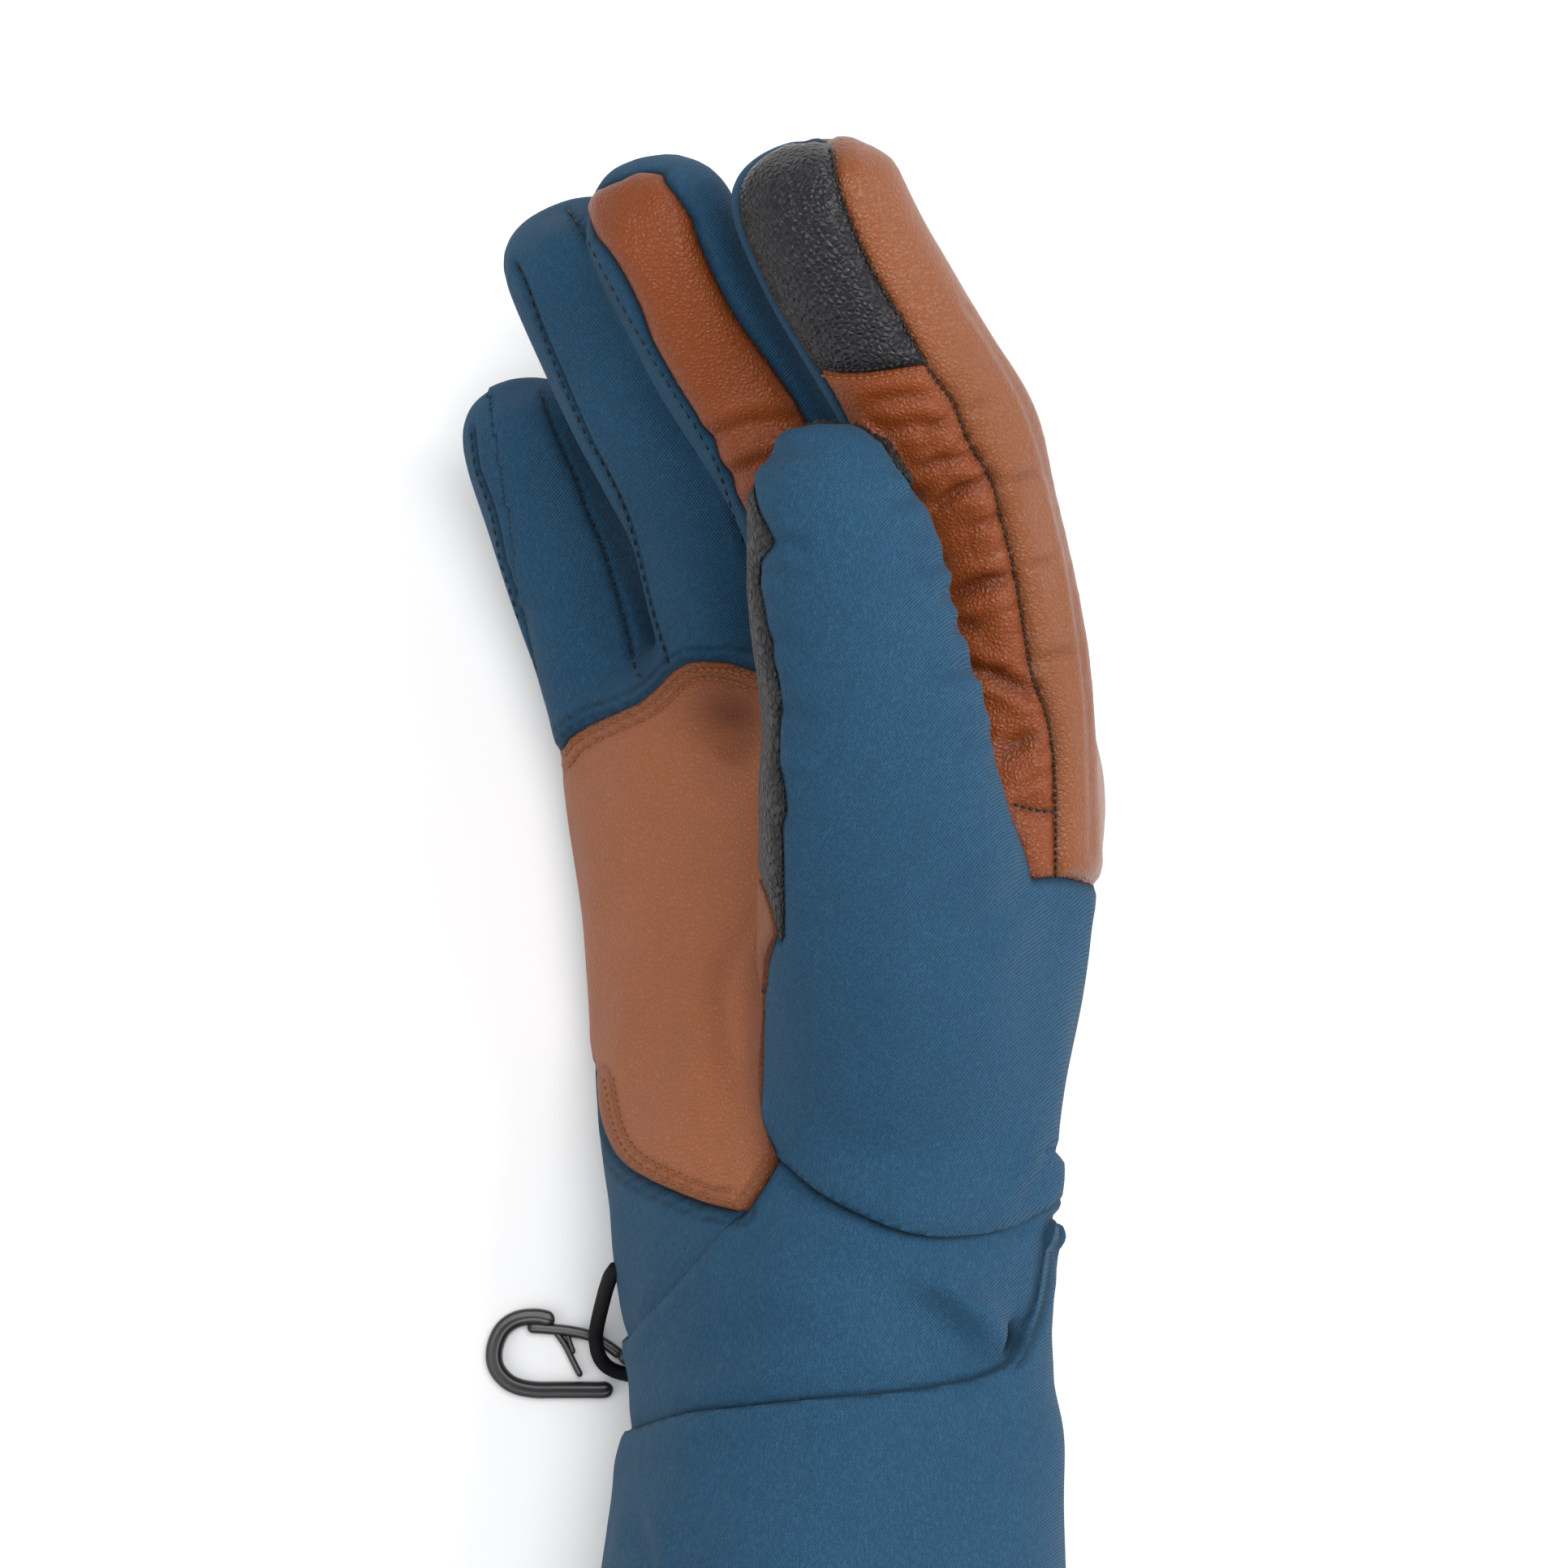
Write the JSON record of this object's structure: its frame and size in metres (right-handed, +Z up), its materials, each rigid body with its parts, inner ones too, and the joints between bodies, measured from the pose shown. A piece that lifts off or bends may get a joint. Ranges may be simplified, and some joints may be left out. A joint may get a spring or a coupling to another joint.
{
  "type": "waterproof sport glove",
  "caption": "Insulated waterproof glove for a right hand, hollow and open at the gauntlet cuff, with leather palm and fingertip panels and a small hook clip on an elastic loop.",
  "frame": {"origin": "middle of the box on the surface that the glove lies on", "axes": "+Y towards the fingertips, +Z up from the surface, the thumb uppermost and the little finger at -X"},
  "size_m": [0.1062, 0.2745, 0.1097],
  "materials": {
    "softshell": "matte fine twill",
    "tan_leather": "satin fine grain",
    "black_pebble": "satin pebbled",
    "grey_grip": "matte coarse grain",
    "black_plastic": "satin moulded",
    "black_elastic": "ribbed weave"
  },
  "bodies": {
    "root": {"hand_back": "softshell", "hand_front": "softshell", "thumb_shell": "softshell", "wrist_palm": "softshell", "wrist_wrap": "softshell", "cuff": "softshell", "middle_shell": "softshell", "ring_shell": "softshell", "ring_palm": "softshell", "little_shell": "softshell", "little_palm": "softshell", "index_fourchette": "softshell", "palm_patch": "tan_leather", "index_root_palm": "tan_leather", "index_palm": "tan_leather", "index_side": "tan_leather", "middle_palm": "tan_leather", "index_tip_patch": "black_pebble", "thumb_grip": "grey_grip", "clip": "black_plastic", "clip_cord": "black_elastic"}
  },
  "joints": []
}
